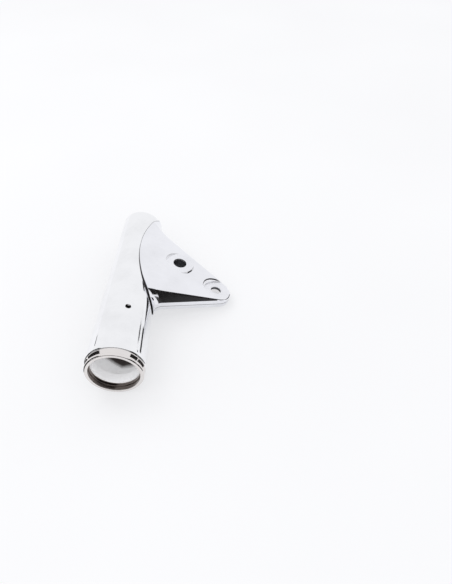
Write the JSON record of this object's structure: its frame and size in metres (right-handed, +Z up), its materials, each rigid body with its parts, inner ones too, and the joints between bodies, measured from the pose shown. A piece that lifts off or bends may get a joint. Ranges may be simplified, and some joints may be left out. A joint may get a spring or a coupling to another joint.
{
  "type": "headlight mounting bracket",
  "caption": "Chrome-plated fork sleeve with a hollow pressed ear that carries the headlight bolt and a turn-signal stem; stepped seat ring at the lower end",
  "frame": {"origin": "centre of the open lower mouth of the ring, on the axis of the sleeve", "axes": "+Y runs up the sleeve from the lower mouth to the upper end, +Z is up with the bracket lying on its sleeve and ear tip as pictured, +X is the side the ear reaches to"},
  "size_m": [0.1208, 0.2, 0.0515],
  "materials": {
    "sleeve": "bright chrome plate on polished steel tube",
    "ring": "bright chrome plate on turned steel ring",
    "ear_outer": "bright chrome plate on polished pressed sheet",
    "ear_inner": "bright chrome plate on pressed sheet",
    "blinker_bush": "thinly plated dull steel bush inside the ear",
    "lamp_bush": "thinly plated dull steel bush inside the ear"
  },
  "bodies": {
    "root": {"sleeve": "sleeve", "ring": "ring", "ear_outer": "ear_outer", "ear_inner": "ear_inner", "blinker_bush": "blinker_bush", "lamp_bush": "lamp_bush"}
  },
  "joints": []
}
